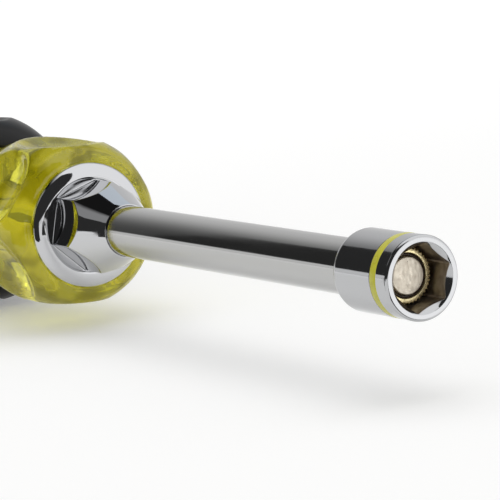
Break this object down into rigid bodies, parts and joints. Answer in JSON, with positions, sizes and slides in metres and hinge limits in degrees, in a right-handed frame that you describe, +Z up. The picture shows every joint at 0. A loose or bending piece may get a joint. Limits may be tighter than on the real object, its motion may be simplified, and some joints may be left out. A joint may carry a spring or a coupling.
{
  "type": "nut driver",
  "caption": "Magnetic nut driver with a hexagonal socket head, straight shank, hexagonal bolster, clear scalloped handle and soft grip.",
  "frame": {"origin": "centre of the socket's mouth, in the plane of its face", "axes": "+X along the tool's axis out of the socket, +Z up with the tool lying level, +Y to the left seen along +X"},
  "size_m": [0.2059, 0.032, 0.0318],
  "materials": {
    "chrome": "bright chrome plating, satin brown inside the hexagon",
    "band_paint": "glossy yellow-green ring",
    "magnet_plating": "nickel plated, scuffed",
    "bond": "dark cured adhesive",
    "plain_steel": "plain turned steel",
    "sleeve_brass": "turned brass with a straight knurl",
    "shank_chrome": "chrome plated bar, drawn along its length",
    "bolster_chrome": "polished chrome plating",
    "clear_handle": "clear yellow-green cellulose plastic, glossy",
    "grip_rubber": "soft black vinyl, satin",
    "disc_plastic": "plain yellow disc"
  },
  "bodies": {
    "root": {"socket_head": "chrome", "colour_band": "band_paint", "magnet": "magnet_plating", "magnet_bond": "bond", "magnet_backing": "plain_steel", "magnet_sleeve": "sleeve_brass", "shank": "shank_chrome", "bolster": "bolster_chrome", "handle_core": "clear_handle", "grip_sleeve": "grip_rubber", "end_disc": "disc_plastic"}
  },
  "joints": []
}
